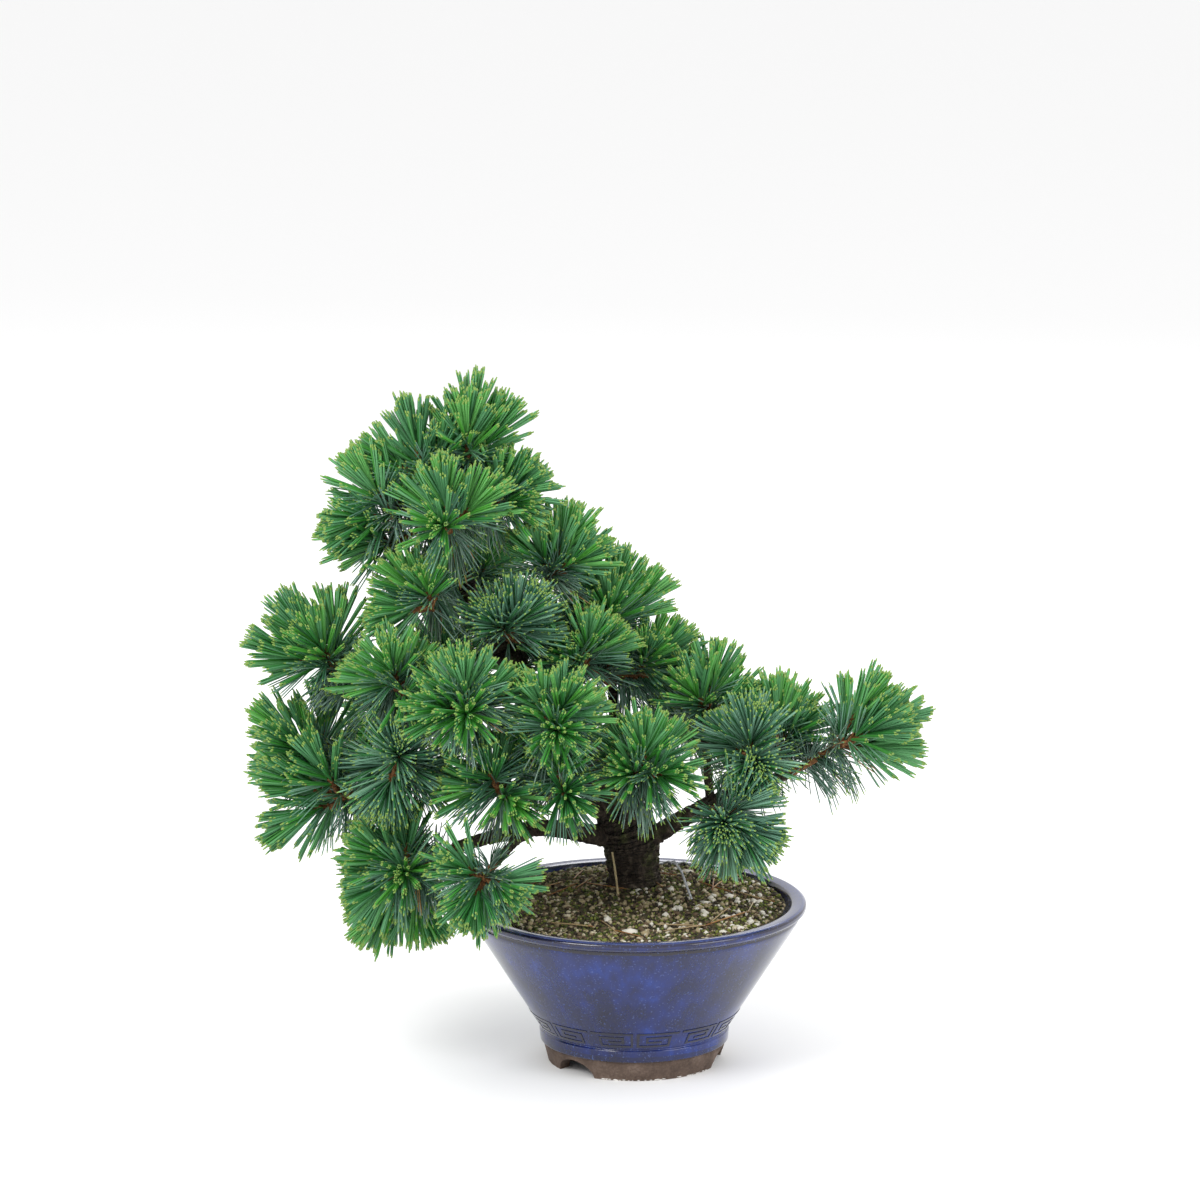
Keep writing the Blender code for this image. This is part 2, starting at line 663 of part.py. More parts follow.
def main():
    clear_scene()
    collection = bpy.data.collections.new("white_pine_bonsai")
    bpy.context.scene.collection.children.link(collection)
    glaze = make_material("blue_glaze", (0.018, 0.035, 0.20), 0.18, coat=0.6)
    clay = make_material("bare_clay", (0.16, 0.11, 0.085), 0.85)
    earth = make_material("gravel_soil", (0.17, 0.14, 0.08), 0.95)
    bark = make_material("bark", (0.075, 0.055, 0.040), 0.95)
    needles = make_material("needles", (0.05, 0.20, 0.07), 0.55)
    steel = make_material("grey_wire", (0.36, 0.37, 0.38), 0.45, metallic=0.9)

    make_pot(glaze, clay, collection)
    make_soil(earth, collection)
    space = Space()
    limbs = make_limbs(bark, collection, space)
    masses = [Mass(name, limbs, space) for name in MASSES]
    for mass in masses:
        mass.finish(needles, collection)
    make_wires(steel, collection)
    centre_on_box(collection)


main()
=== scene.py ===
import math
import random

import bmesh
import bpy
import numpy as np
from mathutils import Matrix, Vector, noise


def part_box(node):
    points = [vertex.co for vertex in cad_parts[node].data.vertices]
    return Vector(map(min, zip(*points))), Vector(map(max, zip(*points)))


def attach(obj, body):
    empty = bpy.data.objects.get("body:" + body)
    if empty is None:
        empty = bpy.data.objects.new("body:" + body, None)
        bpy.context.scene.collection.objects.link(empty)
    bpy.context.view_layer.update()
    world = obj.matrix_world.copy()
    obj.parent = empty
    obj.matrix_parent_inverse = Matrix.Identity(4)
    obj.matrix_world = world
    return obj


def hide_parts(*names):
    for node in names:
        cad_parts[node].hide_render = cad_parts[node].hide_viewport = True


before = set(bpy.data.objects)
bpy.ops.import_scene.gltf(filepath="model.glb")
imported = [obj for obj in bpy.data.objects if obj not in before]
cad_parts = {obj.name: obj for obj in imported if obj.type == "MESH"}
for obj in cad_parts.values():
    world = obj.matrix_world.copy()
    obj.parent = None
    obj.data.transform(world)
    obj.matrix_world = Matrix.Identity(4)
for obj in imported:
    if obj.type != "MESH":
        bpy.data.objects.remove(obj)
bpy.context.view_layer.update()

MM = 0.001
SEED = 11
LOW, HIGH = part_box("pot")
AXIS = Vector(((LOW[0] + HIGH[0]) / 2, (LOW[1] + HIGH[1]) / 2, 0))

# Pot, in mm from its axis on the ground
POT_HEIGHT = 95.0
RIM_RADIUS = 100.0
LIP_WIDTH = 8.5
WALL_FOOT_RADIUS = 54.2
WALL_THICK = 7.0
LEDGE_TOP = 18.8
LEDGE_STEP = 1.2
GLAZE_EDGE = 12.0
FLOOR_TOP = 21.0
DRAIN_RADIUS = 11.0
FRET_LOW = 21.6
FRET_HIGH = 31.4
FRET_UNITS = 14
FRET_LINE = 1.25
FRET_RELIEF = 0.35
SPIN_STEPS = 144
GROUND = 99.0
SOIL_EDGE_DROP = 6.0
SOIL_BACK_DROP = 5.0
TRUNK_PATCH = 21.0
WALL_TOP = POT_HEIGHT - 10
WALL_TOP_RADIUS = RIM_RADIUS - 4.4
LIP_INNER_RADIUS = RIM_RADIUS - LIP_WIDTH
LEDGE_FILLET = 0.8
CORNER_SHARE = 0.28
CORNER_MOST = 0.7
FRET_STROKE = 0.055
FRET_ROOT = 0.3

# Heights that bound the glaze's bands: where it runs thin on the rim's edge, the painted shade under the
# lip, the darker band towards the bottom of the glaze and the painted highlight along the top of the lip
THIN_RIM = (POT_HEIGHT - 2.3, POT_HEIGHT - 0.5)
SHADE_UNDER_LIP = (POT_HEIGHT - 6.6, POT_HEIGHT - 4.2)
DARKER_FOOT_BELOW = LEDGE_TOP - 2.2
LIP_SHEEN = POT_HEIGHT - 0.75

# White chips along the foot's lower edge, by the angle from the front
CHIPS = 46
CHIP_ANGLES = (-22, 58)
CHIP_SIZES = (0.25, 0.75)
CHIP_SHAPE = (1.7, 0.35, 0.5, 1)
FOOT_FACE_RADIUS = 50.55

# Soil, and the grains on it: kind, colour, how many and how large in mm
SOIL_CELLS = 110
SOIL_REACH = LIP_INNER_RADIUS - 3.8
SOIL_FOOT_RADIUS = WALL_FOOT_RADIUS - WALL_THICK - 0.4
SOIL_FALL_LENGTH = 70
TRUNK_SPOT = (0, 25)
GRAIN_REACH = LIP_INNER_RADIUS - 4.6
GRAIN_CLEAR_OF_TRUNK = 15.5
GRAIN_SUNK = 0.35
GRAINS = (
    ("tan", (0.36, 0.29, 0.17), 900, 1.15),
    ("beige", (0.52, 0.46, 0.33), 520, 1.1),
    ("brown", (0.12, 0.08, 0.045), 1100, 1.1),
    ("dark", (0.035, 0.026, 0.016), 900, 1.1),
    ("moss", (0.17, 0.19, 0.035), 1700, 0.8),
    ("deep_moss", (0.065, 0.085, 0.018), 1300, 0.85),
    ("pale", (0.70, 0.66, 0.58), 120, 1.7),
)
FALLEN_NEEDLES = 30
FALLEN_REACH = 82
STALK_SPOT = (-9.5, -2)

TRUNK = (
    ((0, 25, GROUND), 16.5),
    ((0, 25, 103), 14.6),
    ((-1, 24, 112), 15.2),
    ((-3, 22, 128), 16.4),
    ((-10, 17, 147), 14.0),
    ((-27, 11, 172), 11.5),
    ((-60, 0, 219), 8.6),
    ((-89, -3, 267), 5.8),
    ((-104, 0, 299), 4.4),
    ((-104, 3, 322), 3.2),
    ((-101, 4, 334), 2.4),
)

# Boughs: the limb each leaves, how far up that limb, its tip, its bow upwards, and two radii
BOUGHS = {
    "bough_low_left": ("trunk", 0.27, (-104, -24, 132), 10, 7.0, 3.4),
    "bough_over_rim": ("bough_low_left", 0.55, (-80, -58, 130), 3, 3.4, 2.2),
    "bough_mid_left": ("trunk", 0.46, (-150, -6, 172), -8, 5.2, 2.6),
    "bough_high_left": ("trunk", 0.60, (-150, -10, 226), -7, 4.8, 2.4),
    "bough_back_left": ("trunk", 0.42, (-118, 64, 182), 6, 4.8, 2.4),
    "bough_right": ("trunk", 0.24, (90, -8, 172), 5, 6.6, 3.0),
    "bough_right_low": ("bough_right", 0.42, (44, -42, 160), 2, 3.0, 2.0),
    "bough_right_up": ("bough_right", 0.50, (40, 16, 192), 2, 3.0, 2.0),
    "bough_rise": ("trunk", 0.36, (-14, 24, 226), 8, 5.0, 2.6),
    "bough_upper_right": ("trunk", 0.62, (-58, 2, 272), 4, 3.8, 2.2),
    "bough_front_high": ("trunk", 0.52, (-90, -52, 218), -3, 4.0, 2.2),
    "bough_front_mid": ("trunk", 0.44, (-47, -46, 206), 2, 3.8, 2.2),
    "bough_front_low": ("trunk", 0.30, (-8, -40, 176), 4, 3.8, 2.2),
    "bough_front_left": ("trunk", 0.34, (-70, -42, 170), 3, 3.8, 2.2),
    "bough_back_high": ("trunk", 0.66, (-92, 58, 262), -3, 3.8, 2.2),
    "bough_back_low": ("trunk", 0.30, (-44, 88, 158), 4, 4.6, 2.4),
    "bough_back_right": ("trunk", 0.33, (26, 76, 176), 5, 4.4, 2.4),
}

# Masses of needles: carrier, place on it, heart, tip, shoots, spread in degrees, seed
MASSES = {
    "peak": ("trunk", 1.00, (-95, 3, 350), (-91, 3, 407), 4, 26, 1),
    "crown_left": ("trunk", 0.975, (-122, 2, 341), (-130, 3, 393), 3, 30, 2),
    "crown_far_left": ("trunk", 0.95, (-140, -6, 322), (-163, -8, 364), 3, 32, 3),
    "crown_low_left": ("trunk", 0.925, (-139, 2, 303), (-180, 1, 320), 3, 30, 4),
    "crown_front": ("trunk", 0.955, (-106, -30, 318), (-109, -38, 366), 4, 34, 5),
    "crown_right": ("trunk", 0.97, (-78, -5, 330), (-52, -7, 352), 4, 34, 6),
    "crown_back": ("trunk", 0.945, (-102, 38, 326), (-108, 56, 370), 4, 36, 7),
    "shoulder": ("trunk", 0.80, (-117, -26, 272), (-141, -28, 306), 4, 36, 8),
    "upper_right": ("bough_upper_right", 1.0, (-47, 3, 287), (-33, 4, 329), 4, 32, 9),
    "upper_old": ("trunk", 0.74, (-72, -24, 254), (-56, -34, 290), 3, 44, 10),
    "rise_top": ("bough_rise", 1.0, (-16, 24, 250), (-7, 23, 301), 4, 28, 11),
    "rise_side": ("bough_rise", 0.93, (4, 28, 222), (30, 30, 254), 4, 34, 12),
    "rise_front": ("bough_rise", 0.86, (-30, -8, 236), (-22, -22, 272), 3, 40, 13),
    "high_left_tip": ("bough_high_left", 1.0, (-174, -10, 234), (-208, -9, 281), 5, 30, 14),
    "high_left_front": ("bough_high_left", 0.93, (-134, -42, 230), (-143, -58, 264), 4, 46, 15),
    "mid_left_tip": ("bough_mid_left", 1.0, (-180, -4, 176), (-219, 0, 215), 4, 32, 16),
    "mid_left_low": ("bough_mid_left", 0.94, (-168, -24, 160), (-224, -20, 182), 4, 34, 17),
    "left_droop": ("bough_mid_left", 0.82, (-136, -42, 186), (-146, -66, 158), 4, 52, 18),
    "front_high": ("bough_front_high", 1.0, (-95, -70, 222), (-98, -84, 262), 5, 40, 19),
    "front_mid": ("bough_front_mid", 1.0, (-46, -64, 212), (-32, -78, 246), 4, 38, 20),
    "front_left": ("bough_front_left", 1.0, (-78, -58, 174), (-90, -74, 208), 4, 44, 21),
    "front_centre": ("bough_front_left", 0.86, (-42, -60, 176), (-44, -78, 212), 3, 36, 22),
    "front_star": ("bough_front_low", 1.0, (6, -52, 182), (2, -62, 220), 5, 44, 23),
    "right_up": ("bough_right_up", 1.0, (43, 15, 204), (48, 14, 246), 4, 34, 24),
    "right_old": ("bough_right", 0.82, (64, -26, 186), (72, -38, 222), 3, 46, 25),
    "right_mid": ("bough_right", 0.94, (84, 8, 186), (80, 6, 228), 4, 30, 26),
    "right_tip": ("bough_right", 1.0, (118, -8, 190), (170, -9, 215), 5, 26, 27),
    "right_low": ("bough_right_low", 1.0, (52, -54, 156), (82, -68, 141), 4, 48, 28),
    "low_left": ("bough_low_left", 1.0, (-131, -42, 122), (-163, -50, 150), 5, 44, 29),
    "low_left_under": ("bough_low_left", 0.93, (-132, -12, 110), (-160, -22, 72), 4, 46, 30),
    "over_rim": ("bough_over_rim", 1.0, (-86, -80, 128), (-98, -100, 104), 4, 56, 31),
    "back_left": ("bough_back_left", 1.0, (-134, 76, 184), (-172, 92, 204), 5, 46, 32),
    "back_left_up": ("bough_back_left", 0.90, (-112, 84, 214), (-116, 104, 250), 4, 46, 33),
    "back_high": ("bough_back_high", 1.0, (-94, 74, 268), (-100, 100, 300), 5, 46, 34),
    "back_low": ("bough_back_low", 1.0, (-48, 102, 160), (-58, 142, 166), 5, 50, 35),
    "back_mid": ("trunk", 0.56, (-40, 48, 226), (-28, 82, 252), 5, 50, 36),
    "back_right": ("bough_back_right", 1.0, (32, 88, 180), (56, 120, 204), 5, 48, 37),
}
OLD_MASSES = ("upper_old", "left_droop", "right_old", "right_low", "back_mid")

LIMB_POINTS = 5
SHOOT_SHARE = 0.42
NEEDLE_LENGTH = 36.0
GOLDEN_ANGLE = math.radians(137.508)

# Bundles of needles on a shoot, needles in each, and how they lean from the shoot in degrees
FRESH_A_SHOOT = 27
MATURE_A_SHOOT = 8
OLD_A_SHOOT = 9
NEEDLES_A_FASCICLE = 5
DEAD_A_FASCICLE = 2
DEAD_SHARE = 0.035
FRESH_FROM = 0.34
FRESH_LEAN = 40
FRESH_LEAN_AT_TIP = 7
MATURE_LEANS = (35, 75)
OLD_LEANS = (40, 100)
FRESH_RADIUS = 0.78
MATURE_RADIUS = 0.52
OLD_RADIUS = 0.44
FALLEN_RADIUS = 0.5

# A needle's rings: how far along it each stands, and its share of the needle's radius
NEEDLE_PLACES = (0.0, 0.11, 0.45, 0.95, 1.0)
NEEDLE_WIDTHS = (0.75, 0.80, 1.0, 0.85, 0.5)
STATIONS = len(NEEDLE_PLACES)
MOST_NEEDLES_A_PIECE = 6800

# Colours of the needles: four shades of each kind, their pale inner faces, their tips and sheaths
SHADES = 4
GREENS = {
    "fresh": ((0.040, 0.235, 0.030), (0.060, 0.300, 0.040), (0.085, 0.360, 0.045), (0.030, 0.185, 0.035)),
    "mature": ((0.030, 0.150, 0.045), (0.040, 0.185, 0.055), (0.025, 0.120, 0.045), (0.050, 0.210, 0.060)),
    "old": ((0.035, 0.115, 0.055), (0.045, 0.140, 0.070), (0.028, 0.090, 0.045), (0.065, 0.155, 0.070)),
    "dead": ((0.34, 0.15, 0.045), (0.44, 0.24, 0.09), (0.25, 0.10, 0.03), (0.40, 0.28, 0.14)),
}
GLAUCOUS = {
    "fresh": ((0.100, 0.330, 0.110), (0.130, 0.380, 0.150), (0.140, 0.430, 0.110), (0.090, 0.290, 0.120)),
    "mature": ((0.130, 0.300, 0.190), (0.170, 0.350, 0.240), (0.100, 0.240, 0.160), (0.200, 0.400, 0.260)),
    "old": ((0.150, 0.270, 0.210), (0.210, 0.340, 0.280), (0.110, 0.210, 0.160), (0.240, 0.360, 0.280)),
    "dead": ((0.40, 0.20, 0.07), (0.50, 0.30, 0.13), (0.30, 0.13, 0.04), (0.46, 0.34, 0.18)),
}
GREEN_TIP = (0.22, 0.36, 0.07)
DEAD_TIP = (0.30, 0.20, 0.10)
SHEATH = (0.26, 0.115, 0.035)

# Camera: its place from the pot's axis in mm, its lens, and how far down it looks in degrees
CAMERA_PLACE = (-20.06, -2903.96, 864.68)
CAMERA_LENS = 154.8
CAMERA_DOWN = 11.53


class Val:
    """A shader value or colour socket, with Python's operators."""

    def __init__(self, tree, socket):
        self.tree = tree
        self.socket = socket

    def math(self, operation, other, flipped=False):
        node = self.tree.nodes.new("ShaderNodeMath")
        node.operation = operation
        for place, item in zip((1, 0) if flipped else (0, 1), (self, other)):
            if isinstance(item, Val):
                self.tree.links.new(item.socket, node.inputs[place])
            else:
                node.inputs[place].default_value = item
        return Val(self.tree, node.outputs[0])

    def __add__(self, other):
        return self.math("ADD", other)

    __radd__ = __add__

    def __mul__(self, other):
        return self.math("MULTIPLY", other)

    __rmul__ = __mul__

    def __sub__(self, other):
        return self.math("SUBTRACT", other)

    def __rsub__(self, other):
        return self.math("SUBTRACT", other, flipped=True)

    def __gt__(self, other):
        return self.math("GREATER_THAN", other)

    def __lt__(self, other):
        return self.math("LESS_THAN", other)


class Finish:
    """One material and the nodes behind its shader."""

    def __init__(self, name, roughness=0.5, **settings):
        self.material = bpy.data.materials.new(name)
        self.material.use_nodes = True
        self.tree = self.material.node_tree
        self.shader = self.tree.nodes["Principled BSDF"]
        self.shader.inputs["Roughness"].default_value = roughness
        for socket, value in settings.items():
            self.shader.inputs[socket.replace("_", " ")].default_value = value

    def node(self, kind, out=0, settings=(), stops=(), **inputs):
        """A node of a kind: settings and a ramp's stops first, then sockets by name or, as _6, by number."""
        node = self.tree.nodes.new("ShaderNode" + kind)
        for name, value in dict(settings).items():
            setattr(node, name, value)
        for k, (place, colour) in enumerate(stops):
            line = node.color_ramp.elements
            element = line[k] if k < len(line) else line.new(place)
            element.position = place
            element.color = (*colour, 1)
        for name, value in inputs.items():
            self.give(node.inputs[int(name[1:]) if name[1:].isdigit() else name.replace("_", " ")], value)
        return Val(self.tree, node.outputs[out])

    def give(self, socket, value):
        if isinstance(value, Val):
            self.tree.links.new(value.socket, socket)
        elif socket.type == "RGBA":
            socket.default_value = (*value, 1)
        else:
            socket.default_value = value

    def place(self, scale=(1, 1, 1), centre=(0, 0, 0)):
        spot = self.node("TexCoord", "Object")
        back = tuple(-c * s for c, s in zip(centre, scale))
        return self.node("Mapping", Vector=spot, Scale=scale, Location=back)

    def noise(self, scale, detail=3.0, roughness=0.55, stretch=(1, 1, 1), centre=(0, 0, 0)):
        where = self.place(stretch, centre)
        return self.node("TexNoise", "Fac", Vector=where, Scale=scale, Detail=detail, Roughness=roughness)

    def ramp(self, value, stops):
        return self.node("ValToRGB", stops=stops, Fac=value)

    def mix(self, share, first, second):
        return self.node("Mix", 2, {"data_type": "RGBA"}, _0=share, _6=first, _7=second)

    def feed(self, socket, value):
        self.tree.links.new(value.socket, self.shader.inputs[socket])

    def bump(self, height, distance, strength=1.0):
        self.feed("Normal", self.node("Bump", Height=height, Distance=distance, Strength=strength))


def plain(name, colour, roughness=0.45):
    finish = Finish(name, roughness)
    finish.shader.inputs["Base Color"].default_value = (*colour, 1)
    return finish.material


def glaze_finish(name, relief=False):
    """Deep cobalt glaze with upright streaks and paler patches, dark where it runs thin on the rim's edge
    and darker towards the bottom, with painted shade under the lip and a painted highlight along its top.
    """
    finish = Finish(name, 0.16, Coat_Weight=0.35, Coat_Roughness=0.06)
    centre = tuple(AXIS)
    streaks = finish.noise(120, 4, 0.6, (1, 1, 0.07), centre)
    patches = finish.noise(16, 3, 0.5, (1, 1, 1.6), centre)
    blue = finish.ramp(
        patches * 0.62 + streaks * 0.38,
        (
            (0.34, (0.003, 0.004, 0.024)),
            (0.47, (0.003, 0.008, 0.062)),
            (0.58, (0.003, 0.016, 0.135)),
            (0.72, (0.006, 0.045, 0.300)),
        ),
    )
    height = finish.node("SeparateXYZ", 2, _0=finish.place((1, 1, 1), centre))
    wobble = finish.noise(60, 3, 0.5) * 0.0024
    rim_thin = (height + wobble - 0.0012 > THIN_RIM[0] * MM) * (height < THIN_RIM[1] * MM)
    # Painted shade: a near-black band under the lip's overhang and in the groove below it
    shade_under_lip = (height + wobble > SHADE_UNDER_LIP[0] * MM) * (height + wobble < SHADE_UNDER_LIP[1] * MM)
    # Darker blue towards the bottom of the glaze, below the ledge
    darker_foot = height + wobble < DARKER_FOOT_BELOW * MM
    # Painted highlight: a paler blue band along the top of the lip
    top_sheen = height > LIP_SHEEN * MM
    specks = finish.noise(900, 0, 0.5) > 0.735
    colour = finish.mix(shade_under_lip * 0.85, blue, (0.010, 0.007, 0.008))
    colour = finish.mix(rim_thin * 0.55, colour, (0.018, 0.012, 0.012))
    colour = finish.mix(darker_foot * 0.6, colour, (0.008, 0.009, 0.030))
    colour = finish.mix(top_sheen * 0.65, colour, (0.075, 0.095, 0.240))
    colour = finish.mix(specks * 0.35, colour, (0.10, 0.16, 0.42))
    if relief:
        colour = finish.mix(0.8, blue, (0.004, 0.004, 0.010))
    finish.feed("Base Color", colour)
    finish.feed("Roughness", patches * 0.12 + 0.10)
    finish.bump(finish.noise(260, 2, 0.5) * 0.6 + streaks * 0.4, 0.0004, 0.25)
    return finish.material


def clay_finish():
    finish = Finish("bare_clay", 0.85)
    grain = finish.noise(700, 5, 0.65)
    tone = finish.noise(70, 3, 0.5)
    finish.feed(
        "Base Color",
        finish.ramp(
            grain * 0.4 + tone * 0.6,
            ((0.35, (0.055, 0.034, 0.024)), (0.52, (0.110, 0.074, 0.055)), (0.68, (0.20, 0.145, 0.115))),
        ),
    )
    finish.bump(grain, 0.0006, 0.5)
    return finish.material


def bark_finish():
    """Dark flaky bark with moss in patches."""
    finish = Finish("bark", 0.95)
    flakes = finish.noise(330, 6, 0.7, (1, 1, 0.5))
    moss = finish.noise(75, 4, 0.6)
    bark = finish.ramp(
        flakes,
        (
            (0.34, (0.010, 0.007, 0.005)),
            (0.50, (0.040, 0.028, 0.019)),
            (0.64, (0.105, 0.082, 0.060)),
            (0.78, (0.20, 0.17, 0.13)),
        ),
    )
    mossy = finish.ramp(moss, ((0.50, (0, 0, 0)), (0.62, (1, 1, 1))))
    green = finish.ramp(flakes, ((0.40, (0.035, 0.045, 0.010)), (0.70, (0.13, 0.16, 0.04))))
    finish.feed("Base Color", finish.mix(mossy * 0.6, bark, green))
    finish.bump(flakes, 0.0018, 0.9)
    return finish.material


def twig_finish():
    finish = Finish("twig_scales", 0.75)
    scales = finish.noise(900, 3, 0.6)
    finish.feed(
        "Base Color",
        finish.ramp(
            scales,
            ((0.35, (0.075, 0.026, 0.008)), (0.52, (0.21, 0.085, 0.024)), (0.70, (0.40, 0.21, 0.075))),
        ),
    )
    finish.bump(scales, 0.0007, 0.8)
    return finish.material


def wire_finish():
    finish = Finish("grey_wire", 0.42, Metallic=0.85)
    wear = finish.noise(800, 3, 0.6)
    finish.feed("Base Color", finish.ramp(wear, ((0.4, (0.20, 0.21, 0.22)), (0.65, (0.48, 0.49, 0.50)))))
    finish.feed("Roughness", wear * 0.4 + 0.25)
    return finish.material


def add_piece(name, mesh, materials, replaced=()):
    for material in materials:
        mesh.materials.append(material)
    piece = bpy.data.objects.new(name, mesh)
    bpy.context.scene.collection.objects.link(piece)
    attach(piece, "root")
    if replaced:
        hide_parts(*replaced)
    return piece


def mesh_from(bm, name, smooth=True):
    bmesh.ops.recalc_face_normals(bm, faces=bm.faces)
    mesh = bpy.data.meshes.new(name)
    bm.to_mesh(mesh)
    bm.free()
    if smooth:
        mesh.shade_smooth()
    return mesh


def turned(profile):
    """A bmesh of a closed profile of (radius, height) in mm turned about the pot's axis."""
    bm = bmesh.new()
    corners = [bm.verts.new(AXIS + Vector((r * MM, 0, z * MM))) for r, z in profile]
    edges = [bm.edges.new(pair) for pair in zip(corners, corners[1:] + corners[:1])]
    bmesh.ops.spin(
        bm, geom=corners + edges, cent=AXIS, axis=(0, 0, 1), angle=math.tau, steps=SPIN_STEPS, use_merge=True
    )
    bmesh.ops.remove_doubles(bm, verts=bm.verts, dist=1e-6)
    return bm


def rounded(profile):
    """The closed profile with each corner cut into three short steps, so that edges read as thrown."""
    result = []
    count = len(profile)
    for k in range(count):
        before, here, after = (Vector(profile[(k + d) % count]) for d in (-1, 0, 1))
        a = here + (before - here).normalized() * min(CORNER_MOST, CORNER_SHARE * (before - here).length)
        b = here + (after - here).normalized() * min(CORNER_MOST, CORNER_SHARE * (after - here).length)
        result += [tuple(a), tuple((a + 2 * here + b) / 4), tuple(b)]
    return result


def wall_radius(height):
    """The straight wall's outer radius at a height, in mm."""
    foot = LEDGE_TOP + LEDGE_FILLET
    return WALL_FOOT_RADIUS + (WALL_TOP_RADIUS - WALL_FOOT_RADIUS) * (height - foot) / (WALL_TOP - foot)


def make_pot():
    """The pot as one turned shell: lip, wall, ledge, drain hole and inner wall, slightly uneven."""
    profile = [
        (LIP_INNER_RADIUS, POT_HEIGHT - 0.8),
        (RIM_RADIUS - 2, POT_HEIGHT),
        (RIM_RADIUS, POT_HEIGHT - 1.4),
        (RIM_RADIUS, POT_HEIGHT - 3.6),
        (RIM_RADIUS - 1.4, POT_HEIGHT - 5),
        (RIM_RADIUS - 3.6, POT_HEIGHT - 6.2),
        (RIM_RADIUS - 3.4, POT_HEIGHT - 8),
        (WALL_TOP_RADIUS, WALL_TOP),
        (WALL_FOOT_RADIUS, LEDGE_TOP + LEDGE_FILLET),
        (WALL_FOOT_RADIUS + LEDGE_STEP, LEDGE_TOP),
        (WALL_FOOT_RADIUS + 0.6, GLAZE_EDGE + 0.6),
        (WALL_FOOT_RADIUS, GLAZE_EDGE),
        (DRAIN_RADIUS, GLAZE_EDGE),
        (DRAIN_RADIUS, FLOOR_TOP),
        (WALL_FOOT_RADIUS - WALL_THICK, FLOOR_TOP),
        (LIP_INNER_RADIUS - 3, WALL_TOP),
    ]
    bm = turned(rounded(profile))
    for point in bm.verts:
        flat = Vector((point.co.x - AXIS.x, point.co.y - AXIS.y, 0))
        soft = noise.noise(point.co * 38) * 0.22 + noise.noise(point.co * 150) * 0.05
        point.co += flat.normalized() * soft * MM
    add_piece("pot_glazed", mesh_from(bm, "pot_glazed"), [glaze_finish("blue_glaze")], ("pot",))
    make_fret()


def fret_strokes(mirrored):
    """One square spiral of the fret, as strokes (left, right, low, high) in shares of a unit."""
    t = FRET_STROKE
    h = FRET_LINE / (FRET_HIGH - FRET_LOW)
    strokes = [
        (0.04, 0.96, 1 - h, 1),
        (0.04, 0.04 + t, 0, 1),
        (0.04, 0.80, 0, h),
        (0.80 - t, 0.80, 0, 1 - 2.2 * h),
        (0.24, 0.80, 1 - 3.2 * h, 1 - 2.2 * h),
        (0.24, 0.24 + t, 2.2 * h, 1 - 2.2 * h),
        (0.24, 0.60, 2.2 * h, 3.2 * h),
    ]
    if mirrored:
        strokes = [(1 - b, 1 - a, low, high) for a, b, low, high in strokes]
    return strokes


def make_fret():
    """A traditional key fret in low relief round the foot of the wall."""
    bm = bmesh.new()
    unit = math.tau / FRET_UNITS
    for k in range(FRET_UNITS):
        for left, right, low, high in fret_strokes(k % 2 == 1):
            steps = max(1, round((right - left) * 10))
            made = bmesh.ops.create_grid(bm, x_segments=steps, y_segments=1, size=0.5)["verts"]
            around = Matrix.Diagonal((right - left, high - low, 1, 1))
            around.translation = ((left + right) / 2, (low + high) / 2, 0)
            bmesh.ops.transform(bm, matrix=around, verts=made)
            raised = bmesh.ops.extrude_face_region(bm, geom=list({f for v in made for f in v.link_faces}))
            top = {v for v in raised["geom"] if isinstance(v, bmesh.types.BMVert)}
            for point in set(made) | top:
                angle = (k + point.co.x) * unit
                height = FRET_LOW + (FRET_HIGH - FRET_LOW) * point.co.y
                radius = wall_radius(height) + (FRET_RELIEF if point in top else -FRET_ROOT)
                turn = Vector((math.sin(angle) * radius, -math.cos(angle) * radius, height))
                point.co = AXIS + turn * MM
    mesh = mesh_from(bm, "pot_fret", smooth=False)
    add_piece("pot_fret", mesh, [glaze_finish("thin_glaze", relief=True)])


def dress_foot():
    """The foot ring keeps its own solid; white chips of bare grit lie along its lower edge."""
    foot = bpy.data.objects["foot_ring"]
    foot.data.materials.clear()
    foot.data.materials.append(clay_finish())
    rng = random.Random(SEED + 5)
    bm = bmesh.new()
    for _ in range(CHIPS):
        angle = math.radians(rng.uniform(*CHIP_ANGLES))
        low = 0.25 + rng.random() * 0.5
        out = Vector((math.sin(angle) * FOOT_FACE_RADIUS, -math.cos(angle) * FOOT_FACE_RADIUS, low))
        size = rng.uniform(*CHIP_SIZES)
        made = bmesh.ops.create_icosphere(bm, subdivisions=1, radius=size * MM)["verts"]
        turn = Matrix.Rotation(angle, 4, "Z") @ Matrix.Diagonal(CHIP_SHAPE)
        bmesh.ops.transform(bm, matrix=Matrix.Translation(AXIS + out * MM) @ turn, verts=made)
    chips = plain("pale_grit", (0.72, 0.70, 0.66), 0.9)
    add_piece("foot_chips", mesh_from(bm, "foot_chips", smooth=False), [chips])


def soil_height(x, y):
    """The mounded soil's height: flat round the trunk, falling to the rim and more at the back left."""
    away = (Vector((x, y)) - Vector(TRUNK_SPOT)).length
    fall = min(1.0, max(0.0, (away - TRUNK_PATCH) / SOIL_FALL_LENGTH))
    backward = max(0.0, (y - x) / (2 * RIM_RADIUS))
    return GROUND - 0.3 - fall * (SOIL_EDGE_DROP + SOIL_BACK_DROP * backward)


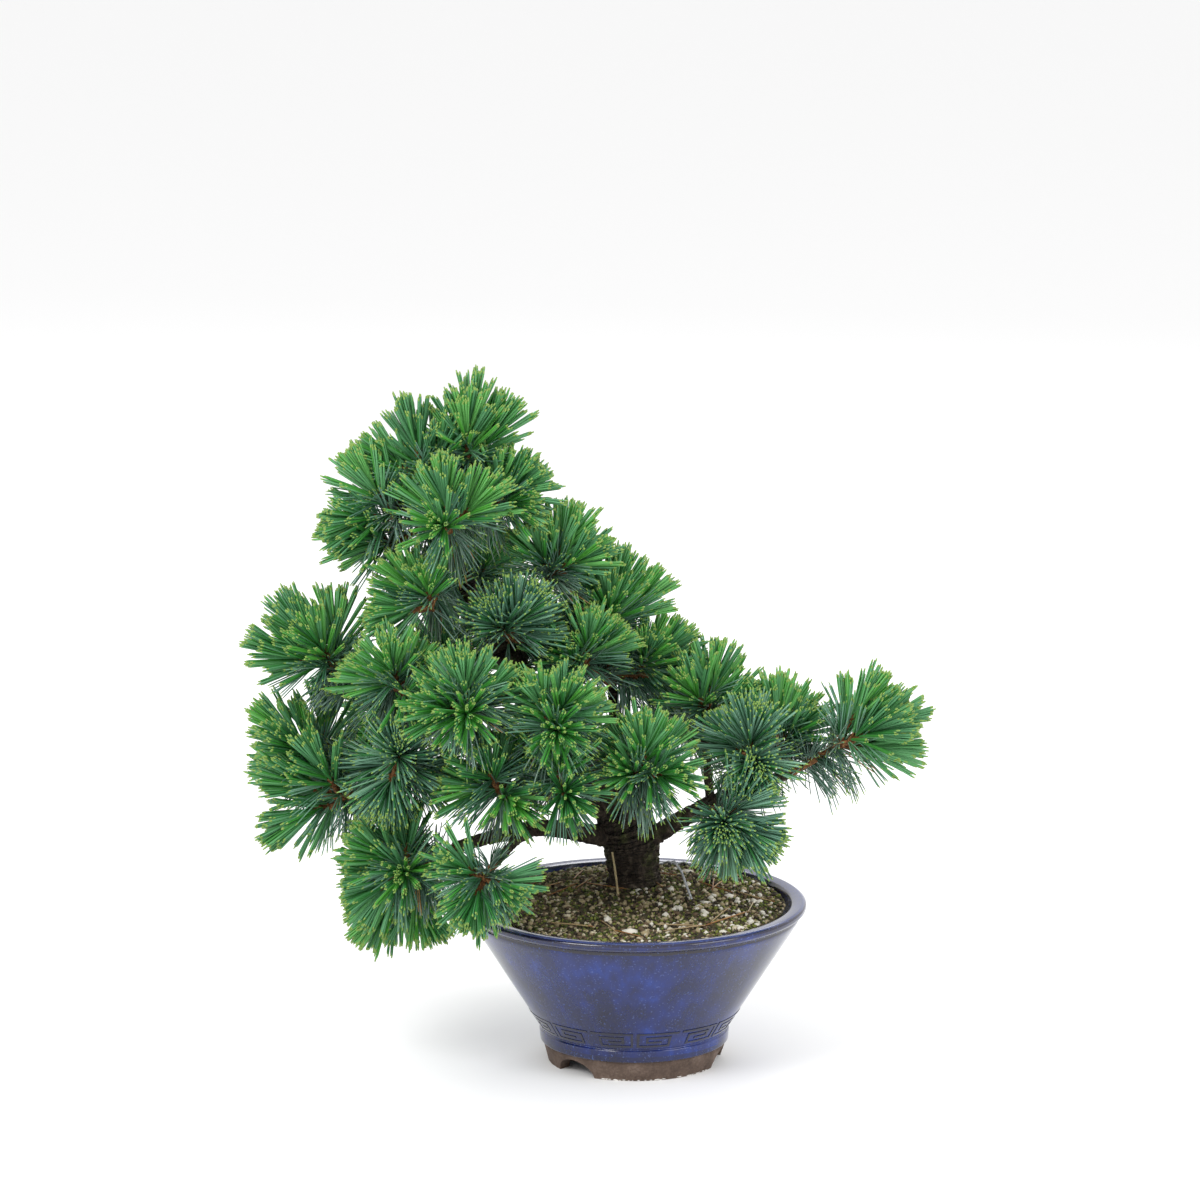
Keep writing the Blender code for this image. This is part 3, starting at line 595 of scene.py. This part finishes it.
def make_soil():
    """The soil as a lumpy round mound with a skirt down the inside of the pot and a flat base."""
    bm = bmesh.new()
    bmesh.ops.create_grid(bm, x_segments=SOIL_CELLS, y_segments=SOIL_CELLS, size=1)
    for point in bm.verts:
        x, y = point.co.x, point.co.y
        radius = max(abs(x), abs(y)) * SOIL_REACH
        angle = math.atan2(y, x)
        x, y = math.cos(angle) * radius, math.sin(angle) * radius
        lumps = noise.fractal(Vector((x, y, 3)) * 0.22, 0.9, 2.1, 4) * 0.9 - 0.9
        point.co = AXIS + Vector((x, y, soil_height(x, y) + lumps)) * MM
    rim = [e for e in bm.edges if e.is_boundary]
    skirt = bmesh.ops.extrude_edge_only(bm, edges=rim)["geom"]
    down = [item for item in skirt if isinstance(item, bmesh.types.BMVert)]
    for point in down:
        out = (point.co - AXIS) * Vector((1, 1, 0))
        point.co = AXIS + out.normalized() * SOIL_FOOT_RADIUS * MM + Vector((0, 0, (FLOOR_TOP + 0.7) * MM))
    bmesh.ops.contextual_create(bm, geom=[e for e in bm.edges if e.is_boundary])
    earth = Finish("earth", 0.95)
    crumbs = earth.noise(620, 5, 0.7)
    earth.feed(
        "Base Color",
        earth.ramp(
            crumbs,
            ((0.36, (0.020, 0.014, 0.006)), (0.52, (0.075, 0.060, 0.022)), (0.7, (0.19, 0.16, 0.08))),
        ),
    )
    earth.bump(crumbs, 0.002, 0.9)
    add_piece("soil_bed", mesh_from(bm, "soil_bed"), [earth.material], ("soil",))


def make_grains():
    """Gravel, moss crumbs and pale grains lying on the soil, joined into one mesh."""
    rng = np.random.default_rng(SEED)
    ball = bmesh.new()
    bmesh.ops.create_icosphere(ball, subdivisions=1, radius=1.0)
    shape = np.array([v.co for v in ball.verts])
    tris = np.array([[v.index for v in f.verts] for f in ball.faces])
    ball.free()
    points, materials, counts = [], [], []
    for name, colour, count, size in GRAINS:
        materials.append(plain("grain_" + name, colour, 0.9))
        radius = np.sqrt(rng.random(count)) * GRAIN_REACH
        angle = rng.random(count) * math.tau
        if name == "pale":
            angle = rng.normal(-0.35, 0.75, count)
        x, y = np.cos(angle) * radius, np.sin(angle) * radius
        keep = np.hypot(x, y - TRUNK_SPOT[1]) > GRAIN_CLEAR_OF_TRUNK
        x, y = x[keep], y[keep]
        z = np.array([soil_height(a, b) for a, b in zip(x, y)]) - GRAIN_SUNK
        grain = size * rng.lognormal(0, 0.3, len(x))
        body = shape[None] * (grain[:, None, None] * rng.uniform(0.6, 1.15, (len(x), 1, 3)))
        body = body + rng.normal(0, 0.10, (len(x), len(shape), 1)) * shape[None] * grain[:, None, None]
        turn = rng.random(len(x)) * math.tau
        c, s = np.cos(turn)[:, None], np.sin(turn)[:, None]
        across = body[..., 0] * c - body[..., 1] * s
        back = body[..., 0] * s + body[..., 1] * c
        body = np.stack((across, back, body[..., 2]), -1)
        body[..., 2] *= 0.8
        points.append(body + np.stack((x, y, z), 1)[:, None])
        counts.append(len(x))
    points = np.concatenate(points)
    faces = (tris[None] + np.arange(len(points))[:, None, None] * len(shape)).reshape(-1, 3)
    mesh = mesh_of_arrays("soil_grains", points.reshape(-1, 3), [faces])
    index = np.repeat(np.repeat(np.arange(len(GRAINS)), counts), len(tris))
    mesh.polygons.foreach_set("material_index", index.astype(np.int32))
    add_piece("soil_grains", mesh, materials)


def mesh_of_arrays(name, points_mm, groups):
    """A mesh from joined arrays: points in mm from the pot's axis, and groups of faces of one size."""
    mesh = bpy.data.meshes.new(name)
    points = np.asarray(points_mm) * MM + np.array(AXIS)
    mesh.vertices.add(len(points))
    mesh.vertices.foreach_set("co", points.astype(np.float32).ravel())
    loops = np.concatenate([group.ravel() for group in groups])
    sizes = np.concatenate([np.full(len(group), group.shape[1]) for group in groups])
    mesh.loops.add(len(loops))
    mesh.loops.foreach_set("vertex_index", loops.astype(np.int32))
    mesh.polygons.add(len(sizes))
    starts = np.concatenate(([0], np.cumsum(sizes)[:-1]))
    mesh.polygons.foreach_set("loop_start", starts.astype(np.int32))
    mesh.update(calc_edges=True)
    return mesh


def smooth_path(points, count):
    """Points evenly spaced in share along a smooth curve through the given ones."""
    knots = [2 * points[0] - points[1], *points, 2 * points[-1] - points[-2]]
    spans = len(points) - 1
    path = []
    for i in range(count):
        place = i * spans / (count - 1)
        k = min(int(place), spans - 1)
        t = place - k
        a, b, c, d = knots[k : k + 4]
        path.append(
            0.5 * (2 * b + (c - a) * t + (2 * a - 5 * b + 4 * c - d) * t**2)
            + 0.5 * (3 * b - a - 3 * c + d) * t**3
        )
    return path


class Limb:
    """A trunk or bough: its path and its radii, in mm."""

    def __init__(self, path, radii):
        self.path = path
        self.radii = radii

    def at(self, share):
        """The point at a share of the path."""
        place = share * (len(self.path) - 1)
        k = min(int(place), len(self.path) - 2)
        return self.path[k].lerp(self.path[k + 1], place - k)


def tree_limbs():
    """The trunk and every bough, as the solids have them."""
    limbs = {"trunk": Limb([Vector(p) for p, _ in TRUNK], [r for _, r in TRUNK])}
    for name, (parent, share, tip, bow, thick, thin) in BOUGHS.items():
        tip = Vector(tip)
        start = limbs[parent].at(share)
        middle = (start + tip) / 2 + Vector((0, 0, bow))
        path = smooth_path([start, middle, tip], LIMB_POINTS)
        steps = [(k / (LIMB_POINTS - 1)) ** 0.8 for k in range(LIMB_POINTS)]
        limbs[name] = Limb(path, [thick + (thin - thick) * step for step in steps])
    return limbs


def tube_rings(path, radii, step, sides, wobble, bm):
    """A closed tube along a path in mm, each ring extruded on from the last and moved by wobble."""
    length = sum((b - a).length for a, b in zip(path, path[1:]))
    count = max(4, int(length / step))
    line = smooth_path(path, count)
    size = [Vector((r, 0, 0)) for r in radii]
    size = [v.x for v in smooth_path(size, count)]
    for k, (spot, radius) in enumerate(zip(line, size)):
        ahead = (line[min(k + 1, count - 1)] - line[max(k - 1, 0)]).normalized()
        if k == 0:
            ring = bmesh.ops.create_circle(bm, cap_ends=True, segments=sides, radius=1)["verts"]
            face = ring[0].link_faces[0]
        else:
            made = bmesh.ops.extrude_face_region(bm, geom=[face])["geom"]
            face = next(item for item in made if isinstance(item, bmesh.types.BMFace))
            ring = list(face.verts)
        aside = Vector((1, 0, 0)) if abs(ahead.x) < 0.9 else Vector((0, 1, 0))
        side = ahead.cross(aside).normalized()
        other = side.cross(ahead).normalized()
        for j, point in enumerate(ring):
            angle = j * math.tau / sides
            out = side * math.cos(angle) + other * math.sin(angle)
            reach = max(0.3, radius + wobble(spot + out * radius, radius))
            point.co = AXIS + (spot + out * reach) * MM


def bark_relief(spot, radius):
    """How far the bark stands out: long flaky plates with cracks between them, finer on thin wood."""
    size = min(1.0, radius / 12)
    warped = spot + Vector((1, 1, 1)) * noise.noise(spot * 0.3) * 1.6
    long = Vector((warped.x, warped.y, warped.z * 0.55))
    plates = noise.voronoi(long * (0.22 + 0.10 / (size + 0.2)))[0]
    ridge = min(1.0, (plates[1] - plates[0]) * 2.4)
    rough = noise.fractal(spot * 0.7, 0.8, 2.2, 4)
    return size * (1.9 * ridge - 1.1) + (0.25 + 0.45 * size) * rough * 0.6


def scaly(spot, radius):
    """The relief of a scaly twig."""
    return 0.35 * radius * noise.noise(spot * 1.3)


def even(spot, radius):
    return 0.0


def make_wood(limbs):
    """The trunk and the boughs with the relief of their bark, the trunk cut flat at the soil."""
    bark = bark_finish()
    bm = bmesh.new()
    tube_rings(limbs["trunk"].path, limbs["trunk"].radii, 1.1, 72, bark_relief, bm)
    for point in bm.verts:
        if point.co.z < GROUND * MM:
            point.co.z = GROUND * MM
    add_piece("trunk_bark", mesh_from(bm, "trunk_bark"), [bark], ("trunk",))
    bm = bmesh.new()
    for name in BOUGHS:
        tube_rings(limbs[name].path, limbs[name].radii, 1.4, 24, bark_relief, bm)
    add_piece("bough_bark", mesh_from(bm, "bough_bark"), [bark], tuple(BOUGHS))


def leaned(axis, angle, azimuth):
    """The axis leaned by an angle, towards an azimuth round it."""
    side = axis.orthogonal().normalized()
    side.rotate(Matrix.Rotation(azimuth, 3, axis))
    return (axis * math.cos(angle) + side * math.sin(angle)).normalized()


def shoots_of(heart, tip, count, spread, seed):
    """The shoots of a mass: one along its lead, the others leaned from it all round."""
    rng = random.Random(SEED * 1000 + seed)
    lead = (tip - heart).normalized()
    reach = (tip - heart).length
    shoots = [(heart, tip)]
    turn = rng.uniform(0, math.tau)
    for i in range(1, count):
        angle = math.radians(spread * rng.uniform(0.9, 1.4))
        way = leaned(lead, angle, turn + i * math.tau / (count - 1) + rng.uniform(-0.3, 0.3))
        start = heart - lead * rng.uniform(2, 7) + way * 3
        shoots.append((start, start + way * reach * rng.uniform(0.8, 0.98)))
    return shoots


class Sprays:
    """Needles gathered by kind before they are joined: root, way, bend, length, width and shade."""

    def __init__(self):
        self.rows = {"fresh": [], "mature": [], "old": [], "dead": []}

    def fascicle(self, kind, rng, root, way, length, width, splay, droop, shade, tip_limit=None):
        """One bundle of needles, shortened where it would pass the mass's reach."""
        if tip_limit is not None:
            far, lead, reach = tip_limit
            over = (root + way * length - far).dot(lead) - reach
            if over > 0:
                length = max(length * 0.55, length - over)
        start = rng.uniform(0, math.tau)
        for k in range(NEEDLES_A_FASCICLE if kind != "dead" else DEAD_A_FASCICLE):
            turn = start + k * math.tau / NEEDLES_A_FASCICLE
            ray = leaned(way, math.radians(splay * rng.uniform(0.7, 1.2)), turn)
            bend = (way - ray) * length * 0.3 + Vector((0, 0, -1)) * droop * rng.uniform(0.5, 1.4)
            reach = length * rng.uniform(0.90, 1.04)
            end = root + ray * reach + bend
            if blocked(end) or blocked(root + ray * reach * 0.6):
                continue
            self.rows[kind].append((*root, *ray, *bend, reach, width, shade, turn))


def blocked(point):
    """Whether a needle's point would lie in the pot, in the soil or below the ground."""
    if point.z < 3:
        return True
    if point.z > GROUND + 2:
        return False
    return math.hypot(point.x, point.y) < RIM_RADIUS + 2 and point.z < POT_HEIGHT + 3


def needle_mesh(name, rows):
    """Three-sided needles as one mesh: a sheath, a length in two shades and a blunt tip."""
    data = np.array(rows)
    root, ray, bend = data[:, 0:3], data[:, 3:6], data[:, 6:9]
    length, width, shade, turn = data[:, 9], data[:, 10], data[:, 11], data[:, 12]
    up = np.where(np.abs(ray[:, 2:3]) < 0.9, [[0, 0, 1.0]], [[1.0, 0, 0]])
    side = np.cross(ray, up)
    side /= np.linalg.norm(side, axis=1, keepdims=True)
    other = np.cross(ray, side)
    points = np.empty((len(data), STATIONS, 3, 3))
    for k, (share, wide) in enumerate(zip(NEEDLE_PLACES, NEEDLE_WIDTHS)):
        centre = root + ray * (length * share)[:, None] + bend * share**2
        for j in range(3):
            angle = turn + j * math.tau / 3
            out = side * np.cos(angle)[:, None] + other * np.sin(angle)[:, None]
            points[:, k, j] = centre + out * (width * wide)[:, None]
    quads = []
    for k in range(STATIONS - 1):
        for j in range(3):
            quads.append((k * 3 + j, k * 3 + (j + 1) % 3, k * 3 + 3 + (j + 1) % 3, k * 3 + 3 + j))
    base = np.arange(len(data)) * STATIONS * 3
    quads = (np.array(quads)[None] + base[:, None, None]).reshape(-1, 4)
    top = (STATIONS - 1) * 3
    caps = (np.array([[top, top + 1, top + 2]])[None] + base[:, None, None]).reshape(-1, 3)
    ends = (np.array([[2, 1, 0]])[None] + base[:, None, None]).reshape(-1, 3)
    mesh = mesh_of_arrays(name, points.reshape(-1, 3), [quads, caps, ends])
    shade = shade.astype(int)
    index = np.empty((len(data), STATIONS - 1, 3), int)
    index[:, 0] = 0
    index[:, 1:3, 0] = (2 + shade)[:, None]
    index[:, 1:3, 1:] = (2 + SHADES + shade)[:, None, None]
    index[:, 3] = 1
    tips = np.full(len(data), 1)
    sheaths = np.zeros(len(data), int)
    all_index = np.concatenate((index.ravel(), tips, sheaths))
    mesh.polygons.foreach_set("material_index", all_index.astype(np.int32))
    return mesh


def make_needles(sprays):
    """The needles of each kind, joined; the first piece stands for the masses' solids."""
    sheath = plain("sheath_brown", SHEATH, 0.7)
    for kind, rows in sprays.rows.items():
        if not rows:
            continue
        finishes = [sheath, plain(f"tip_{kind}", GREEN_TIP if kind != "dead" else DEAD_TIP, 0.5)]
        finishes += [plain(f"green_{kind}_{k}", c, 0.38) for k, c in enumerate(GREENS[kind])]
        finishes += [plain(f"bloom_{kind}_{k}", c, 0.5) for k, c in enumerate(GLAUCOUS[kind])]
        pieces = math.ceil(len(rows) / MOST_NEEDLES_A_PIECE)
        share = math.ceil(len(rows) / pieces)
        for k in range(pieces):
            name = f"needles_{kind}_{k}"
            mesh = needle_mesh(name, rows[k * share : (k + 1) * share])
            nodes = [f"mass_{mass}" for mass in MASSES] if (kind, k) == ("fresh", 0) else ()
            add_piece(name, mesh, finishes, tuple(nodes))


def fresh_needles(sprays, rng, root, core, limit, aged):
    """This year's bundles: tight and upright towards the shoot's tip, looser on an aged shoot."""
    shade_base = rng.randrange(SHADES)
    lead = core.normalized()
    for k in range(FRESH_A_SHOOT):
        rise = ((k + 0.5) / FRESH_A_SHOOT) ** 0.8
        spot = root + core * (FRESH_FROM + (1 - FRESH_FROM) * rise)
        lean = FRESH_LEAN * (1 - rise) + FRESH_LEAN_AT_TIP + rng.uniform(-6, 6)
        ray = leaned(lead, math.radians(lean), k * GOLDEN_ANGLE + rng.uniform(-0.3, 0.3))
        shade = (shade_base + (rng.random() < 0.4)) % SHADES
        length = NEEDLE_LENGTH * rng.uniform(0.82, 1.04)
        splay = rng.uniform(6, 12) if aged else rng.uniform(1.5, 4.5)
        kind = "mature" if aged else "fresh"
        sprays.fascicle(kind, rng, spot, ray, length, FRESH_RADIUS, splay, 0.4, shade, limit)


def mature_needles(sprays, rng, root, core, limit):
    """Last year's bundles, more open, on the lower half of a shoot."""
    for _ in range(MATURE_A_SHOOT):
        spot = root + core * rng.uniform(0.05, 0.6)
        lean = math.radians(rng.uniform(*MATURE_LEANS))
        ray = leaned(core.normalized(), lean, rng.uniform(0, math.tau))
        length = NEEDLE_LENGTH * rng.uniform(0.70, 0.92)
        splay = rng.uniform(6, 13)
        shade = rng.randrange(SHADES)
        sprays.fascicle("mature", rng, spot, ray, length, MATURE_RADIUS, splay, 2.5, shade, limit)


def old_needles(sprays, rng, seat, stem, count):
    """The oldest bundles, wide open and drooping along a mass's stem, a few of them dead."""
    for _ in range(OLD_A_SHOOT * count):
        along = rng.uniform(0.25, 1.0)
        lean = math.radians(rng.uniform(*OLD_LEANS))
        ray = leaned(stem.normalized(), lean, rng.uniform(0, math.tau))
        length = NEEDLE_LENGTH * rng.uniform(0.62, 0.9)
        kind = "dead" if rng.random() < DEAD_SHARE else "old"
        splay = rng.uniform(9, 19)
        droop = rng.uniform(3, 9)
        shade = rng.randrange(SHADES)
        sprays.fascicle(kind, rng, seat + stem * along, ray, length, OLD_RADIUS, splay, droop, shade)


def grow_masses(limbs, sprays):
    """Twigs and needles of every mass, grown from the limbs by the source's rule."""
    bm = bmesh.new()
    for name, (parent, share, heart, tip, count, spread, seed) in MASSES.items():
        rng = random.Random(SEED * 9000 + seed)
        heart, tip = Vector(heart), Vector(tip)
        seat = limbs[parent].at(share)
        middle = (seat + heart) / 2 + Vector((0, 0, rng.uniform(-2, 2)))
        tube_rings([seat, middle, heart], [2.3, 2.0, 1.7], 1.6, 9, scaly, bm)
        stem = heart - seat
        for start, end in shoots_of(heart, tip, count, spread, seed):
            way = (end - start).normalized()
            reach = (end - start).length
            core_end = start + way * max(reach * SHOOT_SHARE, reach - NEEDLE_LENGTH)
            root = heart - stem.normalized() * 2
            bow = (root + core_end) / 2 - Vector((0, 0, rng.uniform(0, 2)))
            tube_rings([root, bow, core_end], [1.7, 1.6, 1.0], 1.5, 8, scaly, bm)
            limit = (start, way, reach)
            fresh_needles(sprays, rng, root, core_end - root, limit, name in OLD_MASSES)
            mature_needles(sprays, rng, root, core_end - root, limit)
        old_needles(sprays, rng, seat, stem, count)
    add_piece("twigs", mesh_from(bm, "twigs"), [twig_finish()])


def strew_fallen(sprays):
    """Dry needles fallen on the soil."""
    rng = random.Random(SEED + 77)
    for _ in range(FALLEN_NEEDLES):
        angle = rng.uniform(0, math.tau)
        radius = FALLEN_REACH * math.sqrt(rng.random())
        x, y = math.cos(angle) * radius, math.sin(angle) * radius
        if math.hypot(x, y - TRUNK_SPOT[1]) < TRUNK_PATCH + 1:
            continue
        root = Vector((x, y, soil_height(x, y) + 1.3))
        turn = rng.uniform(0, math.tau)
        ray = Vector((math.cos(turn), math.sin(turn), 0.02))
        length = rng.uniform(22, 36)
        end = root + ray * length
        if math.hypot(end.x, end.y) > FALLEN_REACH + 2:
            continue
        drop = soil_height(end.x, end.y) + 1.2 - end.z
        shade = rng.randrange(SHADES)
        sprays.rows["dead"].append((*root, *ray, 0, 0, drop, length, FALLEN_RADIUS, shade, turn))


def make_stalk():
    """A dry straw stalk that stands in the soil in front of the trunk."""
    bm = bmesh.new()
    foot = Vector((*STALK_SPOT, soil_height(*STALK_SPOT) - 1))
    path = [foot, foot + Vector((-1.5, 1, 13)), foot + Vector((-3.5, 2, 26))]
    tube_rings(path, [0.65, 0.6, 0.55], 1.5, 8, even, bm)
    straw = plain("straw", (0.50, 0.40, 0.22), 0.8)
    add_piece("dry_stalk", mesh_from(bm, "dry_stalk"), [straw])


def dress_wires():
    wire = wire_finish()
    for name in ("tie_wire", "twisted_wire"):
        node = bpy.data.objects[name]
        node.data.materials.clear()
        node.data.materials.append(wire)


def area_light(name, spot, aim, size, power):
    lamp = bpy.data.lights.new(name, "AREA")
    lamp.size = size
    lamp.energy = power
    light = bpy.data.objects.new(name, lamp)
    light.location = spot
    light.rotation_euler = (Vector(aim) - Vector(spot)).to_track_quat("-Z", "Y").to_euler()
    bpy.context.scene.collection.objects.link(light)


def make_studio():
    """A plain pale floor, soft lights and the camera at the photo's angle."""
    bm = bmesh.new()
    bmesh.ops.create_grid(bm, x_segments=2, y_segments=2, size=14)
    floor = bpy.data.objects.new("studio_floor", mesh_from(bm, "studio_floor"))
    floor.data.materials.append(plain("pale_floor", (0.93, 0.93, 0.93), 0.9))
    bpy.context.scene.collection.objects.link(floor)
    world = bpy.data.worlds.new("studio")
    bpy.context.scene.world = world
    world.use_nodes = True
    world.node_tree.nodes["Background"].inputs["Color"].default_value = (1, 1, 1, 1)
    world.node_tree.nodes["Background"].inputs["Strength"].default_value = 1.0
    area_light("key", (-1.1, -1.3, 1.7), (0, 0, 0.2), 0.9, 26)
    area_light("fill", (1.5, -1.0, 1.1), (0, 0, 0.15), 1.0, 12)
    area_light("back", (0.3, 1.5, 1.6), (0, 0, 0.2), 1.0, 12)
    scene = bpy.context.scene
    scene.view_settings.view_transform = "Standard"
    view = bpy.data.cameras.new("camera")
    view.sensor_width = 36
    view.lens = CAMERA_LENS
    view.clip_end = 60
    camera = bpy.data.objects.new("camera", view)
    camera.location = AXIS + Vector(CAMERA_PLACE) * MM
    camera.rotation_euler = (math.radians(90 - CAMERA_DOWN), 0, 0)
    scene.collection.objects.link(camera)
    scene.camera = camera


make_studio()
make_pot()
dress_foot()
make_soil()
make_grains()
limbs = tree_limbs()
make_wood(limbs)
sprays = Sprays()
grow_masses(limbs, sprays)
strew_fallen(sprays)
make_needles(sprays)
make_stalk()
dress_wires()
